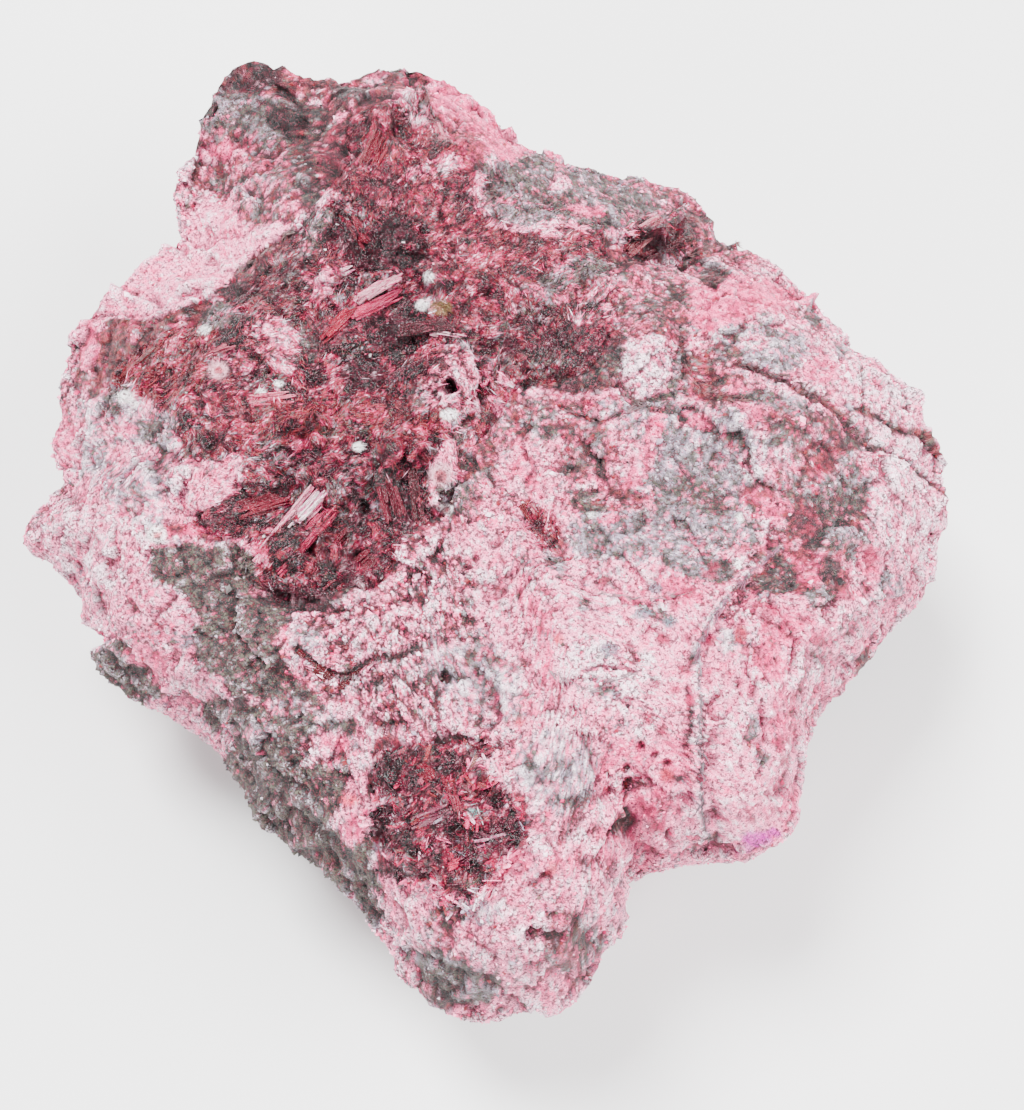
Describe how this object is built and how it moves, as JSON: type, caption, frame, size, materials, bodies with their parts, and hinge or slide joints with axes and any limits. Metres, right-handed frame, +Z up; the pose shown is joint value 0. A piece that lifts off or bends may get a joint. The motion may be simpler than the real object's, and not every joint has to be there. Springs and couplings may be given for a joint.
{
  "type": "roselite specimen",
  "caption": "Broken slab of pink and grey gangue lying on a flat break, with crusts of dark red bladed roselite crystals set into its upper side.",
  "frame": {"origin": "middle of the bounding box seen from above, on the plane of the flat break that the specimen rests on", "axes": "+Z up out of the crystal-bearing side, the shortest way through; +Y along the longest way, from the narrow lobe towards the dark crest; +X towards the pale rounded end"},
  "size_m": [0.1042, 0.112, 0.0479],
  "materials": {
    "gangue": "matte",
    "roselite": "glossy"
  },
  "bodies": {
    "root": {"matrix": "gangue", "crystal_field": "roselite", "crystal_pocket": "roselite", "crystal_fan": "roselite", "crystal_spray": "roselite", "crystal_vein": "roselite"}
  },
  "joints": []
}
